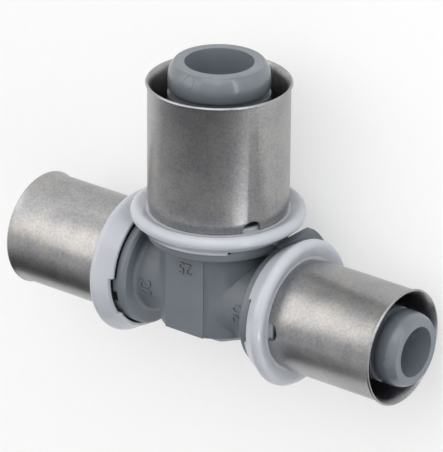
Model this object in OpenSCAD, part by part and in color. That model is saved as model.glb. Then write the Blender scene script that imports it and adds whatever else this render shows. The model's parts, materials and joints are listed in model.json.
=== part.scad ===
// Reducing press tee for multilayer pipe.
// A straight run with two equal spigots along X and a larger branch spigot.
// Each spigot carries sealing rings, a clip-on stop ring and a press sleeve.
// The part lies on its back, on the rims of its three stop rings, origin at the
// crossing of the run axis and the branch axis, the branch pointing along +Y.

/* [Run arms] */

// Centre of the tee to the end face of a run spigot
run_reach = 47.2; // [44:0.2:56]
// Outer diameter of the land at the nose of a run spigot
run_nose_d = 14.8; // [14.2:0.1:15.2]
// Flow passage through the run
run_bore_d = 9.9; // [8:0.1:10.4]
// Centre of the tee to the inner face of a run flange
run_flange_at = 13.9; // [13.4:0.1:15]
// Outer diameter of a run press sleeve
run_sleeve_d = 22.2; // [21:0.1:24]
// How far the moulded flange stands out beyond the run sleeve, on the radius
run_flange_out = 0.65; // [0.4:0.05:1]
// Centre of the tee to the mouth of a run sleeve
run_sleeve_end = 44.3; // [41:0.1:46]
// How far the rim of a run stop ring stands out beyond the sleeve
run_rim_out = 3.5; // [3:0.1:4.2]
// Depth of a run stop ring, from its skirt edge to the sleeve seat
run_ring_h = 4.3; // [3.6:0.1:5]

/* [Branch arm] */

// Centre of the tee to the end face of the branch spigot
branch_reach = 47.0; // [45:0.2:56]
// Outer diameter of the land at the nose of the branch spigot
branch_nose_d = 19.8; // [19:0.1:20.2]
// Flow passage through the branch
branch_bore_d = 13.4; // [11:0.1:14]
// Centre of the tee to the inner face of the branch flange
branch_flange_at = 10.9; // [10:0.1:12]
// Outer diameter of the branch press sleeve
branch_sleeve_d = 27.5; // [26:0.1:29]
// How far the moulded flange stands out beyond the branch sleeve, on the radius
branch_flange_out = -0.05; // [-0.2:0.05:0.3]
// Centre of the tee to the mouth of the branch sleeve
branch_sleeve_end = 43.1; // [40:0.1:45]
// How far the rim of the branch stop ring stands out beyond the sleeve
branch_rim_out = 3.3; // [2.8:0.1:4]
// Depth of the branch stop ring, from its skirt edge to the sleeve seat
branch_ring_h = 3.7; // [3.2:0.1:4.4]

/* [Tee centre] */

// Diameter of the upright barrel in the middle of the tee
barrel_d = 22.4; // [21.6:0.2:23]
// Depth of the barrel below the run axis
barrel_drop = 6.2; // [5:0.1:8]
// Diameter of the necks where they meet the run flanges
neck_d = 16.8; // [15:0.1:18]
// Width of the flat pads on the front and back of the barrel
pad_w = 9.2; // [8:0.1:11]
// Distance of a pad face from the centre of the tee
pad_at = 10.6; // [10.4:0.1:10.9]
// Thickness of the flanges
flange_t = 2.0; // [1.6:0.1:2.2]
// Radius of the raised lug at the back of each run flange
lug_r = 16.2; // [14.5:0.1:17]

/* [Spigots] */

// Number of barbs between the sealing rings and the root
barbs = 4; // [3:1:5]
// Depth of a barb and of the relief behind the nose
barb_h = 0.6; // [0.4:0.05:0.8]
// Length of the land at the nose
land_l = 1.9; // [1.6:0.1:2.4]
// Cord diameter of a sealing ring, as a share of the spigot wall
cord_share = 0.7; // [0.6:0.05:0.75]
// Height of a sealing ring above the spigot
seal_proud = 0.15; // [0.1:0.05:0.2]

/* [Sleeves] */

// Wall thickness of the press sleeves
sleeve_t = 0.8; // [0.7:0.05:1.1]
// Outward flare of a sleeve mouth, on the radius
flare = 0.4; // [0.2:0.05:0.6]
// Length of the flare
flare_l = 1.1; // [1:0.1:2.5]
// Inward taper at the inner end of a sleeve, on the radius
nip = 0.35; // [0.2:0.05:0.4]
// Length of the taper
nip_l = 2.2; // [1.5:0.1:3]
// Diameter of the round inspection windows
window_d = 3.8; // [3:0.1:4]
// Number of windows in a sleeve
windows = 3; // [2:1:4]

/* [Stop rings] */

// Radius of the rounded rim
rim_r = 1.25; // [0.9:0.05:1.4]
// How far the rim stands above the sleeve seat
rim_rise = 0.55; // [0.3:0.05:0.7]
// Thickness of the web under the sleeve seat
web_t = 1.5; // [1.2:0.1:1.8]
// Wall of the skirt at its edge
skirt_t = 0.8; // [0.6:0.05:1]
// Width of each of the two notches in a skirt
notch_deg = 40; // [30:1:60]
// Depth of a notch
notch_l = 0.9; // [0.6:0.1:1.4]
// Reach of the inner collar into the sleeve
collar_l = 0.6; // [0.5:0.1:2]
// Wall of the inner collar
collar_t = 0.8; // [0.6:0.1:1]

/* [Clearances] */

// Gap between a ring and the moulded flange it sits against
ring_gap = 0.15; // [0.1:0.01:0.2]
// Gap on the radius between a ring and the root it slides on
ring_play = 0.06; // [0.04:0.01:0.1]
// Gap on the radius between a flange and the skirt around it
skirt_play = 0.4; // [0.3:0.05:0.6]
// Gap on the radius between the inner collar and the sleeve
collar_play = 0.08; // [0.05:0.01:0.12]
// Gap between a sleeve end and its seat, and under a sealing ring
seat_gap = 0.03; // [0.02:0.01:0.05]

/* [Hidden] */

$fn = 120;
eps = 0.01;

// Distances of the skirt edge and of the sleeve seat from the centre
run_skirt = run_flange_at + flange_t + ring_gap;
run_seat = run_skirt + run_ring_h;
branch_skirt = branch_flange_at + flange_t + ring_gap;
branch_seat = branch_skirt + branch_ring_h;

// Diameters of the flanges and of the stop rings
run_flange_d = run_sleeve_d + 2 * run_flange_out;
run_ring_d = run_sleeve_d + 2 * run_rim_out;
branch_flange_d = branch_sleeve_d + 2 * branch_flange_out;
branch_ring_d = branch_sleeve_d + 2 * branch_rim_out;

// Cord diameters of the sealing rings
run_cord = (run_nose_d - run_bore_d) / 2 * cord_share;
branch_cord = (branch_nose_d - branch_bore_d) / 2 * cord_share;

// Inner radius of the sleeves, and the root the stop rings slide on
run_sleeve_in = run_sleeve_d / 2 - sleeve_t;
branch_sleeve_in = branch_sleeve_d / 2 - sleeve_t;
root_step = 0.5;
run_root_r = run_nose_d / 2 + root_step;
branch_root_r = branch_nose_d / 2 + root_step;

// Tapered tip in front of the land, a flat arc that meets the end face at an
// edge: its length, its drop on the radius and the angle where the arc begins
tip_from = 42;
function tip_l(nose_r) = nose_r * 0.3;
function tip_drop(nose_r) = nose_r * 0.123;

// A sealing groove is a little wider than the cord it holds
function groove_w(cord) = cord * 1.3;
function groove_r(nose_r, cord) = nose_r + seal_proud - seat_gap - cord;
// Distance back from the end face to the middle of sealing groove n
relief_w = 1.3;
ridge_w = 1.4;
function groove_back(nose_r, cord, n) =
    tip_l(nose_r) + land_l + relief_w + ridge_w
    + groove_w(cord) / 2 + n * (groove_w(cord) + ridge_w);

// The branch passage ends flat in the run passage, this far above its axis
saddle = run_bore_d / 4;

// Tilt that lets the run rings and the branch ring touch one floor
rim_at = rim_rise - rim_r;
branch_rim_c = branch_ring_d / 2 - rim_r;
branch_rim_at = branch_seat + rim_at;
rest_tilt = acos((run_ring_d / 2 - rim_r) / norm([branch_rim_c, branch_rim_at]))
    - atan2(branch_rim_at, branch_rim_c);

// Placement: the tee is drawn upright, then laid on its back
module laid() rotate([-90 + rest_tilt, 0, 0]) children();
module on_right() laid() rotate([0, 90, 0]) children();
module on_left() laid() rotate([0, 0, 180]) rotate([0, 90, 0]) children();
module on_branch() laid() children();

// Outline of a spigot, drawn as radius against distance from the centre
function tip_points(nose_r, reach) =
    [for (t = [tip_from : 8 : 90])
        [nose_r - tip_drop(nose_r) * (1 - sin(t)) / (1 - sin(tip_from)),
         reach - tip_l(nose_r) * (1 - cos(t) / cos(tip_from))]];
function groove_points(a, w, floor_r, top_r) =
    [[top_r, a + w / 2], [floor_r, a + w / 2], [floor_r, a - w / 2], [top_r, a - w / 2]];
function barb_points(from, to, top_r) =
    let (p = (from - to) / barbs)
    [for (i = [0 : barbs - 1]) each
        [[top_r - barb_h, from - i * p], [top_r, from - (i + 1) * p + p * 0.15]]];

module spigot(nose_r, cord, reach, root_r, root_end, from) {
    land = reach - tip_l(nose_r) - land_l;
    g0 = reach - groove_back(nose_r, cord, 0);
    g1 = reach - groove_back(nose_r, cord, 1);
    w = groove_w(cord);
    floor_r = groove_r(nose_r, cord);
    rotate_extrude()
        polygon(concat(
            [[0, from], [0, reach]],
            tip_points(nose_r, reach),
            [[nose_r, land], [nose_r - barb_h, land],
             [nose_r - barb_h, land - relief_w], [nose_r, land - relief_w]],
            groove_points(g0, w, floor_r, nose_r),
            groove_points(g1, w, floor_r, nose_r),
            [[nose_r, g1 - w / 2 - ridge_w]],
            barb_points(g1 - w / 2 - ridge_w, root_end, nose_r),
            [[nose_r - barb_h, root_end], [root_r, root_end], [root_r, from]]));
}

// Root of an arm, turned in one: the outline below the flange, a fillet, and
// the flange with its broken inner edge
edge = 0.45;
fillet = 0.9;
module root(r, at, below) {
    neck_r = below[len(below) - 1].x;
    rotate_extrude()
        difference() {
            polygon(concat(below,
                [[neck_r, at - fillet], [neck_r + fillet, at - fillet],
                 [neck_r + fillet, at], [r - edge, at],
                 [r, at + edge], [r, at + flange_t], [0, at + flange_t]]));
            translate([neck_r + fillet, at - fillet]) circle(fillet);
        }
}

// Sector of a ring: radii, heights, middle angle and width
module sector(r0, r1, a0, a1, mid, wide) {
    rotate([0, 0, mid - wide / 2])
        rotate_extrude(angle = wide)
            translate([r0, a0]) square([r1 - r0, a1 - a0]);
}

// Keys on the flange that stand in the two skirt notches; each key is given by
// its middle and its width, as shares of the notch
key_wall = 1.6;
key_inset = 0.06;
key_gap = 0.15;
whole_key = [[-0.05, 0.75]];
twin_keys = [[-0.32, 0.3], [0.3, 0.34]];
module keys(flange_r, at, notch, places) {
    for (side = [0, 180], key = places)
        sector(flange_r - key_wall, flange_r - key_inset, at + flange_t - 1,
               at + flange_t + ring_gap + notch_l - key_gap,
               notch + side + key[0] * notch_deg, key[1] * notch_deg);
}

// Raised lug on the back of a run flange, kept below the branch ring
module lug() {
    inset = 0.2;
    intersection() {
        rotate([0, 0, 119]) rotate_extrude(angle = 66)
            translate([run_flange_d / 2 - 1, run_flange_at + inset])
                square([lug_r - run_flange_d / 2 + 1, flange_t - 2 * inset]);
        translate([-branch_flange_at - flange_t, 0, 0]) cube([50, 50, run_skirt]);
    }
}

// Angle of the first skirt notch of each ring, seen along its arm
notch_right = 82;
notch_left = 255;
notch_branch = -25;
// Angle of the first window of each sleeve
window_right = -92;
window_left = 270;
window_branch = -24;

// Run arm: its neck swells out of the barrel, just under the pads
module run_arm(notch, places) {
    swell = pad_at - 0.3;
    spigot(run_nose_d / 2, run_cord, run_reach, run_root_r,
           run_seat + collar_l - eps, run_flange_at + 0.5);
    root(run_flange_d / 2, run_flange_at, [[0, 0], [swell, 0], [swell, 4], [neck_d / 2, 9]]);
    keys(run_flange_d / 2, run_flange_at, notch, places);
}

// Branch arm on the barrel, which ends in a shallow dome below the run
module branch_arm() {
    dome = 2.4;
    foot = pad_at - 0.05;
    root(branch_flange_d / 2, branch_flange_at,
         [[0, branch_flange_at - fillet], [foot, branch_flange_at - fillet]]);
    translate([0, 0, -barrel_drop])
        linear_extrude(barrel_drop + branch_flange_at + 0.5) {
            square([pad_w, 2 * pad_at], center = true);
            intersection() {
                circle(d = barrel_d);
                square([barrel_d, 2 * pad_at], center = true);
            }
        }
    translate([0, 0, -barrel_drop - dome])
        cylinder(h = dome + 0.1, r1 = barrel_d * 0.2, r2 = foot);
    spigot(branch_nose_d / 2, branch_cord, branch_reach, branch_root_r,
           branch_seat + collar_l - eps, branch_flange_at);
    keys(branch_flange_d / 2, branch_flange_at, notch_branch, whole_key);
}

module tee_body() {
    color([0.43, 0.45, 0.48])
    laid()
        difference() {
            union() {
                branch_arm();
                rotate([0, 90, 0]) run_arm(notch_right, whole_key);
                rotate([0, 0, 180]) rotate([0, 90, 0]) run_arm(notch_left, twin_keys);
                rotate([0, 90, 0]) lug();
                mirror([1, 0, 0]) rotate([0, 90, 0]) lug();
            }
            rotate([0, 90, 0])
                cylinder(h = 2 * run_reach + 2, d = run_bore_d, center = true);
            translate([0, 0, saddle])
                cylinder(h = branch_reach - saddle + 1, d = branch_bore_d);
        }
}

// Thin tube flared at the mouth and tapered where it meets the ring
module press_sleeve(r, seat, end, first_window) {
    back = seat + seat_gap;
    lip = 0.3;
    crest = 0.2;
    difference() {
        rotate_extrude()
            polygon([[r - nip, back], [r, back + nip_l], [r, end - flare_l],
                     [r + flare, end - lip], [r + flare - crest, end],
                     [r + flare - 2 * crest, end],
                     [r + flare - sleeve_t, end - 2 * lip],
                     [r - sleeve_t, end - flare_l - lip],
                     [r - sleeve_t, back]]);
        for (i = [0 : windows - 1])
            rotate([0, 0, first_window + i * 360 / windows])
                translate([0, 0, back + window_d * 0.1])
                    rotate([0, 90, 0]) cylinder(h = r + 2, d = window_d);
    }
}

// Point where a straight line from p touches a circle, on the side given by s
function touch(p, c, r, s) =
    let (v = c - p, d = norm(v), a = atan2(v.y, v.x) + s * asin(r / d), l = sqrt(d * d - r * r))
    p + l * [cos(a), sin(a)];

// Stop ring: rounded rim, notched skirt, hub on the root, collar in the sleeve
module stop_ring(ring_r, flange_r, root_r, sleeve_in, sleeve_r, skirt, h, notch) {
    in_r = root_r + ring_play;
    hub_r = in_r + 1.1;
    skirt_in = flange_r + skirt_play;
    collar_r = sleeve_in - collar_play;
    skirt_edge = [skirt_in + skirt_t, 0.5];
    rim = [ring_r - rim_r, h + rim_at];
    seat_edge = [sleeve_r + 0.3, h];
    translate([0, 0, skirt])
    difference() {
        rotate_extrude() {
            polygon([[in_r, 0], [hub_r, 0], [hub_r, h - web_t], [skirt_in, h - web_t],
                     [skirt_in, 0], [skirt_edge.x - 0.2, 0],
                     skirt_edge, touch(skirt_edge, rim, rim_r, -1), rim,
                     touch(seat_edge, rim, rim_r, 1), seat_edge, [collar_r, h],
                     [collar_r, h + collar_l - 0.3], [collar_r - 0.3, h + collar_l],
                     [collar_r - collar_t, h + collar_l], [collar_r - collar_t, h],
                     [in_r, h]]);
            translate(rim) circle(rim_r);
        }
        for (side = [0, 180])
            sector(skirt_in - eps, ring_r, -1, notch_l, notch + side, notch_deg);
    }
}

module sealing_ring(nose_r, cord, reach, n) {
    translate([0, 0, reach - groove_back(nose_r, cord, n)])
        rotate_extrude()
            translate([nose_r + seal_proud - cord / 2, 0]) circle(d = cord);
}

module run_sleeve(first_window)
    press_sleeve(run_sleeve_d / 2, run_seat, run_sleeve_end, first_window);

module run_ring(notch)
    stop_ring(run_ring_d / 2, run_flange_d / 2, run_root_r, run_sleeve_in,
              run_sleeve_d / 2, run_skirt, run_ring_h, notch);

module run_seal(n)
    color([0.08, 0.08, 0.08]) sealing_ring(run_nose_d / 2, run_cord, run_reach, n);

module branch_seal(n)
    color([0.08, 0.08, 0.08])
        on_branch() sealing_ring(branch_nose_d / 2, branch_cord, branch_reach, n);

module press_sleeve_left() color([0.74, 0.72, 0.70]) on_left() run_sleeve(window_left);
module press_sleeve_right() color([0.74, 0.72, 0.70]) on_right() run_sleeve(window_right);
module press_sleeve_branch()
    color([0.74, 0.72, 0.70])
        on_branch()
            press_sleeve(branch_sleeve_d / 2, branch_seat, branch_sleeve_end, window_branch);

module stop_ring_left() color([0.92, 0.92, 0.95]) on_left() run_ring(notch_left);
module stop_ring_right() color([0.92, 0.92, 0.95]) on_right() run_ring(notch_right);
module stop_ring_branch()
    color([0.92, 0.92, 0.95])
        on_branch()
            stop_ring(branch_ring_d / 2, branch_flange_d / 2, branch_root_r,
                      branch_sleeve_in, branch_sleeve_d / 2, branch_skirt,
                      branch_ring_h, notch_branch);

module seal_left_outer() on_left() run_seal(0);
module seal_left_inner() on_left() run_seal(1);
module seal_right_outer() on_right() run_seal(0);
module seal_right_inner() on_right() run_seal(1);
module seal_branch_outer() branch_seal(0);
module seal_branch_inner() branch_seal(1);

tee_body();
press_sleeve_left();
press_sleeve_right();
press_sleeve_branch();
stop_ring_left();
stop_ring_right();
stop_ring_branch();
seal_left_outer();
seal_left_inner();
seal_right_outer();
seal_right_inner();
seal_branch_outer();
seal_branch_inner();
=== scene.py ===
# %% [markdown]
# # A reducing press tee on a pale table
#
# The object is a plumbing tee for multilayer pipe: a moulded grey body with
# three spigots, a thin steel press sleeve over each spigot, and a white stop
# ring that holds each sleeve. It lies on its back, so the photograph's upright
# direction runs along +Y here, and the front of the tee looks up.
#
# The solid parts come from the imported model. This file gives them their
# finishes, adds the small moulded marks, and sets the table, lamps and camera.

import json
import math

import bpy
from mathutils import Matrix, Vector


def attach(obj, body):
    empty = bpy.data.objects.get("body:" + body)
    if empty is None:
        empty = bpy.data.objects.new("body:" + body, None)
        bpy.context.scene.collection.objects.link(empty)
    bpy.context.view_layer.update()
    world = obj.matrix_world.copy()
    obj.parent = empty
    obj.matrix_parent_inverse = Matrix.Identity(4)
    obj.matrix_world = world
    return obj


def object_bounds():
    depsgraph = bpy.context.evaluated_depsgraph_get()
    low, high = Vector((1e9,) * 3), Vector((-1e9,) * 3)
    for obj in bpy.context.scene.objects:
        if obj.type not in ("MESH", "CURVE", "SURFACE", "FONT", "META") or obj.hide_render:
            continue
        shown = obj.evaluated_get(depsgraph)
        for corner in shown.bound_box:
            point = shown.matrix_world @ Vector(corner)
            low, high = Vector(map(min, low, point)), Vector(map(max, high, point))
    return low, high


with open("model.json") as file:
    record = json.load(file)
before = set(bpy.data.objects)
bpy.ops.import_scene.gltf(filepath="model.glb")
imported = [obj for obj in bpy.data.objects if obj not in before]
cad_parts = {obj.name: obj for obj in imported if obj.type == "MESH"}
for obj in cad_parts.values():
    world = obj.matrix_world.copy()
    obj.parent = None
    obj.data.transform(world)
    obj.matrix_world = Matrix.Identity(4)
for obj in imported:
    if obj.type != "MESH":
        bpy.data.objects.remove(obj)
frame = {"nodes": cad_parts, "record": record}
solid_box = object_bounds()
parts = frame["nodes"]
print("solid parts:", len(parts))

# %% [markdown]
# ## The tee's own directions
#
# It is easier to think of the tee as it stands in the photograph: the run along
# X, the branch along Z and the front towards -Y. One turn about X lays it down
# until the rims of its three rings touch the table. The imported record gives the
# direction of the branch's bore, and so the turn. `laid` is that turn, so a mark
# can be placed in upright terms and then laid down with the rest.

# %% Lay the tee down
MM = 0.001
branch_bore = next(m for m in frame["record"]["mounts"] if m["name"] == "branch_bore")
rest_tilt = math.atan2(branch_bore["axis"][2], branch_bore["axis"][1])
laid = Matrix.Rotation(-math.pi / 2 + rest_tilt, 4, "X")
print("the branch rises by", round(math.degrees(rest_tilt), 2), "degrees")

# %% [markdown]
# ## Helpers for materials
#
# Colours are easiest to judge as sRGB hex values, as on a paint card, but a
# shader works in linear light. One function turns the first into the second.
# Another adds a node, gives it its settings and links its inputs, so that a
# material reads as a short list of what it is made of. The stops of a colour
# ramp are settings too: pairs of a position and a paint.


# %% Colour and node helpers
def paint(hex_code):
    """An sRGB hex colour as linear RGBA."""
    values = [int(hex_code[i : i + 2], 16) / 255 for i in (1, 3, 5)]
    return [v / 12.92 if v <= 0.04045 else ((v + 0.055) / 1.055) ** 2.4 for v in values] + [1]


def add(tree, kind, settings=None, links=None):
    """A new node with its properties, input values, ramp stops and incoming links."""
    node = tree.nodes.new(kind)
    for name, value in (settings or {}).items():
        if name == "stops":
            for stop, (position, hex_code) in zip(node.color_ramp.elements, value):
                stop.position, stop.color = position, paint(hex_code)
        elif isinstance(name, int) or name in node.inputs:
            node.inputs[name].default_value = value
        else:
            setattr(node, name, value)
    for name, source in (links or {}).items():
        tree.links.new(source, node.inputs[name])
    return node


def new_material(name):
    """An empty node material, with the place coordinates every pattern here uses."""
    material = bpy.data.materials.new(name)
    material.use_nodes = True
    tree = material.node_tree
    tree.nodes.clear()
    place = add(tree, "ShaderNodeTexCoord").outputs["Object"]
    return material, tree, place


def per_metre(size_mm):
    """Texture scale for a pattern whose features are this far apart."""
    return 1 / (size_mm * MM)


# %% [markdown]
# ## Painted shade in the corners
#
# On a real fitting the light dies in narrow corners: under a ring's rim, beside
# a flange, inside a window. That shade is painted into the colour here, so these
# corners come out darker than the lamps alone would make them. The Ambient
# Occlusion node measures how far the surface closes in on itself, and a multiply
# darkens the colour by that. `darkest` is what is left of the colour in the
# deepest corner.


# %% Painted corner shade
def painted_corner_shade(tree, colour, darkest):
    """The colour with shade painted in, darker where the surface within 7 mm closes in."""
    corner = add(tree, "ShaderNodeAmbientOcclusion", {"samples": 8, "Distance": 7 * MM})
    corner_shade = add(
        tree,
        "ShaderNodeMapRange",
        {"From Min": 0.1, "From Max": 0.5, "To Min": darkest, "To Max": 1.0},
        {"Value": corner.outputs["AO"]},
    )
    shaded_colour = add(
        tree,
        "ShaderNodeVectorMath",
        {"operation": "MULTIPLY"},
        {0: colour, 1: corner_shade.outputs["Result"]},
    )
    return shaded_colour.outputs["Vector"]


# %% [markdown]
# ## Moulded grey body: polyphenylsulfone
#
# Press fittings for heating pipe are injection-moulded from polyphenylsulfone
# (PPSU), a tough amber plastic coloured grey. The tool is spark-eroded, which
# leaves a fine matt grain and a soft satin sheen, while the noses of the spigots
# are polished so that they slide past the pipe's bore. PPSU is dense and has a
# high IOR of about 1.63.
#
# A single flat grey looks like a computer model, so the shade wanders a little
# over 9 mm, as the melt's flow leaves it. The grain of such a tool is near
# 0.05 mm, too fine for this picture, so it is drawn at 0.22 mm. It moves both
# the roughness and the bump.
#
# The polish depends on how far a point is from the centre of the tee: it starts
# at 41 mm, behind the noses, and is full at 43 mm.

# %% Grey plastic
POLISH_STARTS, POLISH_FULL = 41 * MM, 43 * MM


def moulded_plastic():
    material, tree, place = new_material("moulded_ppsu")
    flow = add(
        tree, "ShaderNodeTexNoise", {"Scale": per_metre(9), "Detail": 4.0}, {"Vector": place}
    )
    grain = add(
        tree, "ShaderNodeTexNoise", {"Scale": per_metre(0.22), "Detail": 2.0}, {"Vector": place}
    )
    shade = add(
        tree,
        "ShaderNodeValToRGB",
        {"stops": [(0.3, "#656C73"), (0.7, "#6E757D")]},
        {"Fac": flow.outputs["Fac"]},
    )
    from_centre = add(tree, "ShaderNodeVectorMath", {"operation": "LENGTH"}, {0: place})
    polish = add(
        tree,
        "ShaderNodeMapRange",
        {"From Min": POLISH_STARTS, "From Max": POLISH_FULL, "To Min": 0.0, "To Max": 1.0},
        {"Value": from_centre.outputs["Value"]},
    )
    satin = add(
        tree,
        "ShaderNodeMapRange",
        {"From Min": 0.35, "From Max": 0.65, "To Min": 0.40, "To Max": 0.50},
        {"Value": grain.outputs["Fac"]},
    )
    roughness = add(
        tree,
        "ShaderNodeMix",
        {"data_type": "FLOAT", "B": 0.2},
        {"Factor": polish.outputs["Result"], "A": satin.outputs["Result"]},
    )
    skin = add(
        tree,
        "ShaderNodeBump",
        {"Strength": 0.12, "Distance": 0.05 * MM},
        {"Height": grain.outputs["Fac"]},
    )
    plastic = add(
        tree,
        "ShaderNodeBsdfPrincipled",
        {"IOR": 1.63},
        {
            # painted shade: the body's colour is darkened in its corners and creases
            "Base Color": painted_corner_shade(tree, shade.outputs["Color"], darkest=0.62),
            "Roughness": roughness.outputs["Result"],
            "Normal": skin.outputs["Normal"],
        },
    )
    add(tree, "ShaderNodeOutputMaterial", None, {"Surface": plastic.outputs["BSDF"]})
    return material


# %% [markdown]
# ## Press sleeves: annealed stainless steel
#
# Each sleeve is a length of thin chromium-nickel steel tube with one end rolled
# outwards. It is annealed so that the press jaws can squeeze it, and the furnace
# and the pickling bath leave a satin surface with a fine mottle of lighter and
# darker grains, without any polish. That gives broad, soft-edged bands of
# reflection that run along the tube.
#
# Real grains are well below 0.1 mm. They are drawn at 0.45 mm, the size at which
# the mottle shows in the picture. A cloud 5 mm across stands for the bath's
# uneven bite, and takes almost half of the mix. A metal's reflection comes from
# its colour, so the IOR stays at its default.


# %% Satin steel
def annealed_steel():
    material, tree, place = new_material("annealed_stainless_steel")
    grain = add(
        tree, "ShaderNodeTexNoise", {"Scale": per_metre(0.45), "Detail": 3.0}, {"Vector": place}
    )
    cloud = add(
        tree, "ShaderNodeTexNoise", {"Scale": per_metre(5), "Detail": 5.0}, {"Vector": place}
    )
    mottle = add(
        tree,
        "ShaderNodeMix",
        {"data_type": "FLOAT", "Factor": 0.45},
        {"A": grain.outputs["Fac"], "B": cloud.outputs["Fac"]},
    )
    shade = add(
        tree,
        "ShaderNodeValToRGB",
        {"stops": [(0.33, "#8F9298"), (0.67, "#B8B5B0")]},
        {"Fac": mottle.outputs["Result"]},
    )
    satin = add(
        tree,
        "ShaderNodeMapRange",
        {"From Min": 0.3, "From Max": 0.7, "To Min": 0.28, "To Max": 0.34},
        {"Value": mottle.outputs["Result"]},
    )
    skin = add(
        tree,
        "ShaderNodeBump",
        {"Strength": 0.03, "Distance": 0.02 * MM},
        {"Height": grain.outputs["Fac"]},
    )
    steel = add(
        tree,
        "ShaderNodeBsdfPrincipled",
        {"Metallic": 1.0},
        {
            "Base Color": shade.outputs["Color"],
            "Roughness": satin.outputs["Result"],
            "Normal": skin.outputs["Normal"],
        },
    )
    add(tree, "ShaderNodeOutputMaterial", None, {"Surface": steel.outputs["BSDF"]})
    return material


# %% [markdown]
# ## Stop rings: natural white polyamide
#
# The rings clip over the flange and keep metal and pipe apart. They are moulded
# from uncoloured polyamide in a polished tool: a cool white, smooth and a little
# translucent, so that light creeps about half a millimetre into the edges and
# softens them. Polyamide's IOR is about 1.53.
#
# White plastic bounces much light into its own corners and so looks flat there.
# The gap under a rim and the collar inside a window should look dark, so painted
# shade darkens the ring's corners more than the body's.


# %% White plastic
def natural_polyamide():
    material, tree, place = new_material("natural_polyamide")
    flow = add(
        tree, "ShaderNodeTexNoise", {"Scale": per_metre(6), "Detail": 1.0}, {"Vector": place}
    )
    shade = add(
        tree,
        "ShaderNodeValToRGB",
        {"stops": [(0.3, "#B8BCC3"), (0.7, "#BFC3CA")]},
        {"Fac": flow.outputs["Fac"]},
    )
    gloss = add(
        tree,
        "ShaderNodeMapRange",
        {"From Min": 0.3, "From Max": 0.7, "To Min": 0.14, "To Max": 0.18},
        {"Value": flow.outputs["Fac"]},
    )
    ring = add(
        tree,
        "ShaderNodeBsdfPrincipled",
        {
            "IOR": 1.53,
            "Subsurface Weight": 0.25,
            "Subsurface Radius": (1.0, 1.0, 1.0),
            "Subsurface Scale": 0.6 * MM,
        },
        {
            # painted shade: the ring's colour is darkened under the rims and inside the windows
            "Base Color": painted_corner_shade(tree, shade.outputs["Color"], darkest=0.2),
            "Roughness": gloss.outputs["Result"],
        },
    )
    add(tree, "ShaderNodeOutputMaterial", None, {"Surface": ring.outputs["BSDF"]})
    return material


# %% [markdown]
# ## Seals: black EPDM rubber
#
# Two cord rings sit in grooves on each spigot, deep inside the sleeves. EPDM is
# filled with carbon black and cured in a matt mould: nearly black, dull, with a
# slightly dusty bloom in specks of 0.8 mm. Its IOR is about 1.52.


# %% Black rubber
def sealing_rubber():
    material, tree, place = new_material("epdm_rubber")
    bloom = add(
        tree, "ShaderNodeTexNoise", {"Scale": per_metre(0.8), "Detail": 4.0}, {"Vector": place}
    )
    shade = add(
        tree,
        "ShaderNodeValToRGB",
        {"stops": [(0.0, "#161616"), (1.0, "#2B2B2A")]},
        {"Fac": bloom.outputs["Fac"]},
    )
    rubber = add(
        tree,
        "ShaderNodeBsdfPrincipled",
        {"IOR": 1.52, "Roughness": 0.6},
        {"Base Color": shade.outputs["Color"]},
    )
    add(tree, "ShaderNodeOutputMaterial", None, {"Surface": rubber.outputs["BSDF"]})
    return material


# %% [markdown]
# ## Which part takes which finish
#
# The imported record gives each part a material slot. Looking the finish up by
# slot keeps one finish for one real material, however many parts share it.

# %% Dress the solid parts
grey_plastic = moulded_plastic()
finish_of = {
    "moulded_grey": grey_plastic,
    "sleeve_steel": annealed_steel(),
    "ring_white": natural_polyamide(),
    "seal_black": sealing_rubber(),
}
slot_of = {piece["node"]: piece["material_slot"] for piece in frame["record"]["subparts"]}
for name, part in parts.items():
    part.data.materials.clear()
    part.data.materials.append(finish_of[slot_of[name]])
print("finishes:", sorted(set(slot_of.values())))

# %% [markdown]
# ## Soft edges
#
# No moulded or rolled edge is truly sharp. A Bevel modifier rounds every edge
# whose faces meet at more than 32 degrees, without changing the mesh itself. The
# imported mesh keeps separate corners where its normals differ, so a Weld
# modifier joins them first. The widths are those of the trade, in millimetres:
# almost 0.3 on the body's moulding, less on the thin rings, and a broken edge on
# the cut steel. The seals are cords and have no edge.

# %% Round the edges
SHARPEST_LEFT = math.radians(32)
edge_width = {"moulded_grey": 0.28, "sleeve_steel": 0.08, "ring_white": 0.12}


def soften(part, width_mm):
    weld = part.modifiers.new("join corners", "WELD")
    weld.merge_threshold = 0.002 * MM
    bevel = part.modifiers.new("soft edges", "BEVEL")
    bevel.width = width_mm * MM
    bevel.segments = 2
    bevel.limit_method = "ANGLE"
    bevel.angle_limit = SHARPEST_LEFT
    bevel.use_clamp_overlap = True
    bevel.harden_normals = False


softened = [name for name in parts if slot_of[name] in edge_width]
for name in softened:
    soften(parts[name], edge_width[slot_of[name]])
print("parts with soft edges:", len(softened))

# %% [markdown]
# ## Marks that ride on the body
#
# A moulding carries small raised marks: the pipe size beside each socket and a
# round witness of the gate on each nose. They are part of the body, so they must
# sit on its surface wherever it curves. A ray cast from outside towards the body
# finds the surface and its slope under any point, and each mark is laid out flat
# and then carried onto the body point by point.

# %% Find the body's surface
OUTSIDE = 20 * MM


def on_body(start, inward):
    """Where a line from an upright point first meets the body, and the slope there."""
    turn = laid.to_3x3()
    hit, place, normal, _ = parts["tee_body"].ray_cast(
        laid @ Vector(start), turn @ Vector(inward)
    )
    if not hit:
        raise ValueError("the line misses the body")
    return place, normal


def around_run(x, angle):
    """A spot on a run arm: its place along X, and degrees from the top to the front."""
    out = Vector((0, -math.sin(math.radians(angle)), math.cos(math.radians(angle))))
    return on_body(Vector((x, 0, 0)) + out * OUTSIDE, -out)


def around_branch(z, angle):
    """A spot on the branch: its height, and degrees from +X towards the back."""
    out = Vector((math.cos(math.radians(angle)), math.sin(math.radians(angle)), 0))
    return on_body(Vector((0, 0, z)) + out * OUTSIDE, -out)


def on_front(x, z):
    """A spot on the front of the barrel: its place across, and its height."""
    return on_body((x, -OUTSIDE, z), (0, 1, 0))


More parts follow.
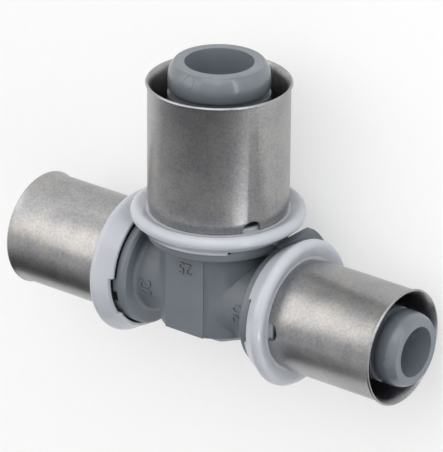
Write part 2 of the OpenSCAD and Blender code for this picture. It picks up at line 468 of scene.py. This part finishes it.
# %% [markdown]
# ## Raised size numbers
#
# The size of the pipe stands beside each socket in plain raised figures, set in
# type of about 3.5 mm. A text curve gives the outlines with a little thickness,
# and its mesh is carried onto the body: the upper face is raised 0.28 mm above
# the surface and the lower face is sunk 0.2 mm below it, so that no gap shows on
# the curved necks. The function that finds the spot takes a step along the text
# and a step up it, and so decides which way the figures read.

# %% Make a number
RAISED, SUNK = 0.28 * MM, 0.2 * MM


def raised_number(name, text, height, spot):
    """Figures on the body. spot(along, up) gives the surface for a step on the text."""
    letters = bpy.data.curves.new(name, "FONT")
    letters.body = text
    letters.size = height
    letters.align_x, letters.align_y = "CENTER", "CENTER"
    letters.extrude = height / 10
    letters.resolution_u = 4
    flat = bpy.data.objects.new(name + "_flat", letters)
    bpy.context.scene.collection.objects.link(flat)
    bpy.context.view_layer.update()
    mesh = bpy.data.meshes.new_from_object(flat)
    bpy.data.objects.remove(flat)
    for vertex in mesh.vertices:
        place, normal = spot(vertex.co.x, vertex.co.y)
        vertex.co = place + normal * (RAISED if vertex.co.z > 0 else -SUNK)
    mesh.materials.clear()
    mesh.materials.append(grey_plastic)
    number = bpy.data.objects.new(name, mesh)
    bpy.context.scene.collection.objects.link(number)
    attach(number, "root")
    print(name, len(mesh.vertices), "points")


# %% [markdown]
# The run's figures lie on the necks, 11.4 mm from the centre, close to the
# front. The neck is round there, so a step along the text becomes a turn about
# the run. The branch's figures stand on the flat front panel, 7.6 mm up and a
# hair right of its middle. They are upside down in the photograph, because they
# are meant to be read from the branch's end.

# %% Place the numbers
NECK_X, NECK_R = 11.4 * MM, 8.4 * MM
LEFT_ANGLE, RIGHT_ANGLE = 95, 88
PANEL_X, PANEL_Z = 0.2 * MM, 7.6 * MM
raised_number(
    "size_left",
    "20",
    height=3.6 * MM,
    spot=lambda along, up: around_run(-NECK_X + up, LEFT_ANGLE + math.degrees(along / NECK_R)),
)
raised_number(
    "size_right",
    "20",
    height=3.6 * MM,
    spot=lambda along, up: around_run(NECK_X - up, RIGHT_ANGLE - math.degrees(along / NECK_R)),
)
raised_number(
    "size_branch",
    "25",
    height=3.4 * MM,
    spot=lambda along, up: on_front(PANEL_X - along, PANEL_Z - up),
)

# %% [markdown]
# ## Gate marks
#
# Where the melt entered, or an ejector pin pushed, a fine raised circle stays on
# the front of each nose, just behind its tip. A thin closed curve with a round
# section draws it: 32 points on a circle, each carried onto the nose, with half
# of the section sunk. The nose is round, so a step around it becomes an angle.

# %% Gate marks
LINE_R = 0.07 * MM
CIRCLE_STEPS = 32
BRANCH_MARK_Z, BRANCH_NOSE_R, BRANCH_FRONT = 45.7 * MM, 9.4 * MM, -90
RUN_MARK_X, RUN_NOSE_R, RUN_FRONT = 46.0 * MM, 7.1 * MM, 90


def gate_mark(name, radius, spot):
    """A fine raised circle on the body. spot(around, out) gives the surface for a step."""
    line = bpy.data.curves.new(name, "CURVE")
    line.dimensions = "3D"
    line.bevel_depth = LINE_R
    line.bevel_resolution = 2
    circle = line.splines.new("POLY")
    circle.points.add(CIRCLE_STEPS - 1)
    for i, point in enumerate(circle.points):
        turn = 2 * math.pi * i / CIRCLE_STEPS
        place, _ = spot(radius * math.cos(turn), radius * math.sin(turn))
        point.co = (*place, 1)
    circle.use_cyclic_u = True
    line.materials.append(grey_plastic)
    mark = bpy.data.objects.new(name, line)
    bpy.context.scene.collection.objects.link(mark)
    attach(mark, "root")
    print(name, "has a radius of", round(radius / MM, 2), "mm")


gate_mark(
    "gate_mark_branch",
    radius=1.15 * MM,
    spot=lambda around, out: around_branch(
        BRANCH_MARK_Z + out, BRANCH_FRONT + math.degrees(around / BRANCH_NOSE_R)
    ),
)
for side, name in ((1, "right"), (-1, "left")):
    gate_mark(
        "gate_mark_" + name,
        radius=1.0 * MM,
        spot=lambda around, out, side=side: around_run(
            side * (RUN_MARK_X + out), RUN_FRONT + math.degrees(around / RUN_NOSE_R)
        ),
    )

# %% [markdown]
# ## Rays that see the background
#
# The photograph was cut out on white. To show a white surround without flooding
# the tee with light, the table and the sky ask of each ray what it is for. A ray
# from the camera, or one that metal or glass sends on, sees them whiter. A ray
# that only gathers light for a dull surface sees them as they are.


# %% Seen or only felt
def sight(tree):
    """1 for a ray from the camera, or one that metal or glass sends on, and 0 otherwise."""
    ray = add(tree, "ShaderNodeLightPath")
    seen = ray.outputs["Is Camera Ray"]
    for kind in ("Is Glossy Ray", "Is Transmission Ray"):
        either = add(
            tree, "ShaderNodeMath", {"operation": "MAXIMUM"}, {0: seen, 1: ray.outputs[kind]}
        )
        seen = either.outputs[0]
    return seen


# %% [markdown]
# ## Table
#
# A plain white table, far larger than the object, so that every view sees it
# behind the tee and the steel has something pale to reflect. Its colour does the
# work: the lamps don't have to be raised to make it white. Half of what a seeing
# ray finds there is an even white glow, which keeps the tee's shadow but thins
# it. Faint specks 3 mm across keep the board from looking like paper.

# %% Table
TABLE_SIZE = 30
SHARE_OF_GLOW = 0.5
bpy.ops.mesh.primitive_plane_add(size=TABLE_SIZE, location=(0, 0, solid_box[0][2]))
table = bpy.context.object
table.name = "table"
board, tree, place = new_material("matt_white_board")
speck = add(
    tree, "ShaderNodeTexNoise", {"Scale": per_metre(3), "Detail": 2.0}, {"Vector": place}
)
tone = add(
    tree,
    "ShaderNodeValToRGB",
    {"stops": [(0.0, "#F4F5F6"), (1.0, "#FAFAFA")]},
    {"Fac": speck.outputs["Fac"]},
)
matt = add(
    tree,
    "ShaderNodeBsdfPrincipled",
    {"Roughness": 0.9, "Specular IOR Level": 0.1},
    {"Base Color": tone.outputs["Color"]},
)
lift = add(
    tree, "ShaderNodeMath", {"operation": "MULTIPLY", 1: SHARE_OF_GLOW}, {0: sight(tree)}
)
glow = add(tree, "ShaderNodeEmission", {"Strength": 1.0})
top = add(
    tree,
    "ShaderNodeMixShader",
    None,
    {"Fac": lift.outputs[0], 1: matt.outputs["BSDF"], 2: glow.outputs[0]},
)
add(tree, "ShaderNodeOutputMaterial", None, {"Surface": top.outputs[0]})
table.data.materials.append(board)
print("the table lies at", round(solid_box[0][2] / MM, 2), "mm")

# %% [markdown]
# ## Sky
#
# The rest of the studio is an even white, a shade dimmer as a light than as a
# background, so that the lamps still give the tee its shape.

# %% Sky
SKY_AS_LIGHT, SKY_AS_SEEN = 0.9, 1.0
world = bpy.data.worlds.new("studio")
bpy.context.scene.world = world
world.use_nodes = True
sky = world.node_tree
sky.nodes.clear()
air = add(sky, "ShaderNodeBackground", {"Color": paint("#FFFFFF"), "Strength": SKY_AS_LIGHT})
white = add(sky, "ShaderNodeBackground", {"Color": paint("#FFFFFF"), "Strength": SKY_AS_SEEN})
mixed = add(
    sky,
    "ShaderNodeMixShader",
    None,
    {"Fac": sight(sky), 1: air.outputs[0], 2: white.outputs[0]},
)
add(sky, "ShaderNodeOutputWorld", None, {"Surface": mixed.outputs[0]})
print("the sky's strength is", SKY_AS_LIGHT, "as light and", SKY_AS_SEEN, "as seen")

# %% [markdown]
# ## Lamps
#
# Satin metal shows its surroundings more than its own colour, so the light is
# planned by what the tubes reflect. Each lamp stands in an upright direction, a
# given distance away, and faces the tee:
#
# - a large warm box at the front left gives the long highlight on the run's
#   sleeves,
# - a larger one above and a little right fills the tops of the rings and noses,
# - a narrow strip low on the right draws the thin bright line near the branch
#   sleeve's right edge,
# - a thin upright strip on the right draws the streak on the branch's polished
#   nose.


# %% Soft boxes
def soft_box(name, towards, distance, size, watts, colour="#FFFFFF"):
    """A rectangular area lamp that faces the tee from an upright direction."""
    lamp = bpy.data.lights.new(name, "AREA")
    lamp.shape = "RECTANGLE"
    lamp.size, lamp.size_y = size
    lamp.energy = watts
    lamp.color = paint(colour)[:3]
    holder = bpy.data.objects.new(name, lamp)
    bpy.context.scene.collection.objects.link(holder)
    direction = (laid.to_3x3() @ Vector(towards)).normalized()
    holder.location = direction * distance
    holder.rotation_euler = direction.to_track_quat("Z", "Y").to_euler()
    print(name, watts, "W")


soft_box(
    "front_left_box", (-0.55, -0.73, 0.41), 1.1, size=(0.8, 1.0), watts=2.6, colour="#FFF5EE"
)
soft_box("top_box", (0.25, -0.55, 0.95), 1.3, size=(1.1, 1.1), watts=4)
soft_box("right_strip", (0.9, -0.12, -0.40), 1.0, size=(0.07, 0.5), watts=1.8)
soft_box("nose_strip", (0.95, -0.25, 0.30), 1.0, size=(1.3, 0.05), watts=1.6)

# %% [markdown]
# ## Grey card
#
# A dark card beside a bright box is what gives a tube its deep tone. This one
# stands below the tee in the photograph's terms, which is to its -Y side here,
# and fills the lower half of what the tubes see. Its felt is dark grey around
# the foot, where the run's sleeves see it, and pale further out, where the
# branch's sleeve does. The camera doesn't see the card.

# %% Grey card
CARD_FOOT = (0, -0.45, 0)
CARD_WIDTH, CARD_TOP, CARD_BOTTOM = 6, 2.7, -0.3
bpy.ops.mesh.primitive_grid_add(size=1)
card = bpy.context.object
card.name = "grey_card"
stand_up = Matrix.Rotation(math.pi / 2, 4, "X")
stretch = Matrix.Diagonal((CARD_WIDTH, 1, CARD_TOP - CARD_BOTTOM, 1))
lift_up = Matrix.Translation(Vector(CARD_FOOT) + Vector((0, 0, (CARD_TOP + CARD_BOTTOM) / 2)))
card.data.transform(lift_up @ stretch @ stand_up)
card.visible_camera = False
felt, tree, place = new_material("grey_felt")
reach = add(tree, "ShaderNodeVectorMath", {"operation": "DISTANCE", 1: CARD_FOOT}, {0: place})
tone = add(
    tree,
    "ShaderNodeValToRGB",
    {"stops": [(0.29, "#434447"), (0.9, "#D0D0D2")]},
    {"Fac": reach.outputs["Value"]},
)
cloth = add(
    tree, "ShaderNodeBsdfPrincipled", {"Roughness": 1.0}, {"Base Color": tone.outputs["Color"]}
)
add(tree, "ShaderNodeOutputMaterial", None, {"Surface": cloth.outputs["BSDF"]})
card.data.materials.append(felt)
print("the card is", CARD_WIDTH, "m wide and", round(CARD_TOP - CARD_BOTTOM, 2), "m tall")

# %% [markdown]
# ## Camera
#
# The photograph was taken with a long lens from the front right and above. In
# upright terms the camera turns 37.6 degrees about the branch, looks down by
# 24.5 degrees and stands about 785 mm away. The picture is 452 pixels tall, and
# a lens of 321 mm on a 36 mm sensor gives its scale.

# %% Camera
TURN, LOOK_DOWN, ROLL = (math.radians(a) for a in (37.64, 24.50, 0.44))
DISTANCE = 784.79 * MM
AIM_RIGHT, AIM_UP = 0.72 * MM, 11.48 * MM

view = (
    Matrix.Rotation(TURN, 4, "Z")
    @ Matrix.Rotation(math.pi / 2 - LOOK_DOWN, 4, "X")
    @ Matrix.Rotation(ROLL, 4, "Z")
)
stand = Matrix.Translation(view @ Vector((AIM_RIGHT, AIM_UP, DISTANCE)))
lens = bpy.data.cameras.new("long_lens")
lens.sensor_fit = "VERTICAL"
lens.sensor_height = 36
lens.lens = 321.3
lens.clip_start = 0.01
lens.clip_end = 100
camera = bpy.data.objects.new("camera", lens)
bpy.context.scene.collection.objects.link(camera)
camera.matrix_world = laid @ stand @ view
bpy.context.scene.camera = camera
bpy.context.scene.view_settings.view_transform = "Standard"
print("camera at", [round(c, 3) for c in camera.matrix_world.translation])
